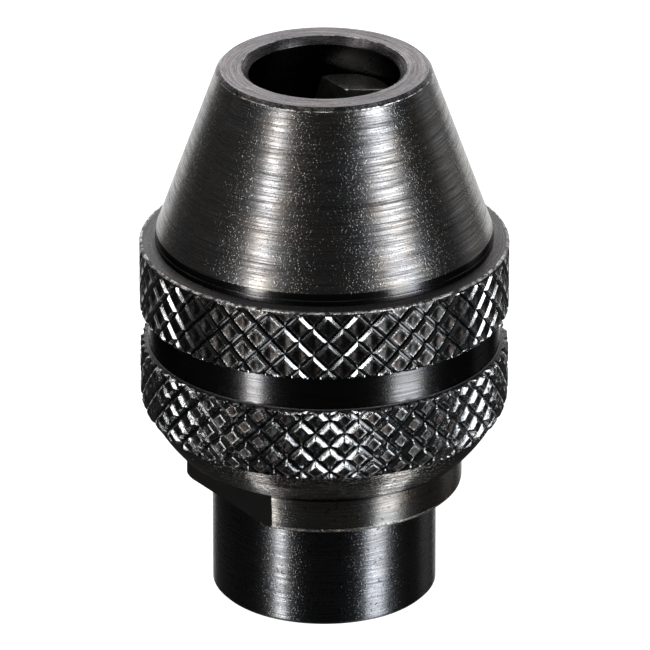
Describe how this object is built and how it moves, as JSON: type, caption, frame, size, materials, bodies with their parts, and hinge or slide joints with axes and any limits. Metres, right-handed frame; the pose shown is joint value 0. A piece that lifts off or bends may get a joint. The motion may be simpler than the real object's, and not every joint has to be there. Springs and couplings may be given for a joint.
{
  "type": "keyless drill chuck",
  "caption": "Small keyless drill chuck: a conical nose hood over a diamond-knurled grip sleeve, gripping jaws in the mouth, and a threaded spindle shank with wrench flats.",
  "frame": {"origin": "on the chuck's axis at the spindle end, which is the bottom of the bounding box", "axes": "+Z along the axis from the spindle end to the nose; the wrench flats face +X and -X; the first jaw is 28 degrees round from +X"},
  "size_m": [0.02, 0.02, 0.0303],
  "materials": {
    "black_oxide_body": "black oxide, turned",
    "black_oxide_grip": "black oxide, diamond knurled",
    "black_oxide_hood": "black oxide, turned",
    "guide_steel": "oiled, milled",
    "screw_steel": "oiled, turned",
    "jaw_steel": "hardened, ground",
    "nut_steel": "black oxide, turned",
    "race_steel": "hardened, ground",
    "cage_brass": "stamped",
    "ball_steel": "polished bearing steel"
  },
  "bodies": {
    "body": {"chuck_body": "black_oxide_body", "retaining_nut": "nut_steel", "upper_race": "race_steel"},
    "sleeve": {"grip_sleeve": "black_oxide_grip", "nose_hood": "black_oxide_hood", "jaw_guide": "guide_steel", "lower_race": "race_steel"},
    "cage": {"ball_cage": "cage_brass", "ball_01": "ball_steel", "ball_02": "ball_steel", "ball_03": "ball_steel", "ball_04": "ball_steel", "ball_05": "ball_steel", "ball_06": "ball_steel", "ball_07": "ball_steel", "ball_08": "ball_steel", "ball_09": "ball_steel", "ball_10": "ball_steel", "ball_11": "ball_steel", "ball_12": "ball_steel"},
    "screw": {"lead_screw": "screw_steel"},
    "jaw_1": {"jaw_1": "jaw_steel"},
    "jaw_2": {"jaw_2": "jaw_steel"},
    "jaw_3": {"jaw_3": "jaw_steel"}
  },
  "joints": [
    {"name": "sleeve_turn", "type": "hinge", "parent": "body", "child": "sleeve", "pos_m": [0, 0, 0.0097], "axis": [0, 0, -1], "range_deg": [0, 2520]},
    {"name": "cage_turn", "type": "hinge", "parent": "body", "child": "cage", "pos_m": [0, 0, 0.0116], "axis": [0, 0, -1], "range_deg": [0, 1260]},
    {"name": "screw_travel", "type": "slide", "parent": "sleeve", "child": "screw", "axis": [0, 0, 1], "range_m": [0, 0.00526]},
    {"name": "jaw_1_slide", "type": "slide", "parent": "screw", "child": "jaw_1", "axis": [-0.8829, -0.4695, 0], "range_m": [0, 0.00234]},
    {"name": "jaw_2_slide", "type": "slide", "parent": "screw", "child": "jaw_2", "axis": [0.848, -0.5299, 0], "range_m": [0, 0.00234]},
    {"name": "jaw_3_slide", "type": "slide", "parent": "screw", "child": "jaw_3", "axis": [0.0349, 0.9994, 0], "range_m": [0, 0.00234]}
  ],
  "couplings": [
    {"joint": "cage_turn", "follows": "sleeve_turn", "ratio": 0.5},
    {"joint": "screw_travel", "follows": "sleeve_turn", "m_per_rad": 0.00011937},
    {"joint": "jaw_1_slide", "follows": "sleeve_turn", "m_per_rad": 0.000053145},
    {"joint": "jaw_2_slide", "follows": "sleeve_turn", "m_per_rad": 0.000053145},
    {"joint": "jaw_3_slide", "follows": "sleeve_turn", "m_per_rad": 0.000053145}
  ]
}
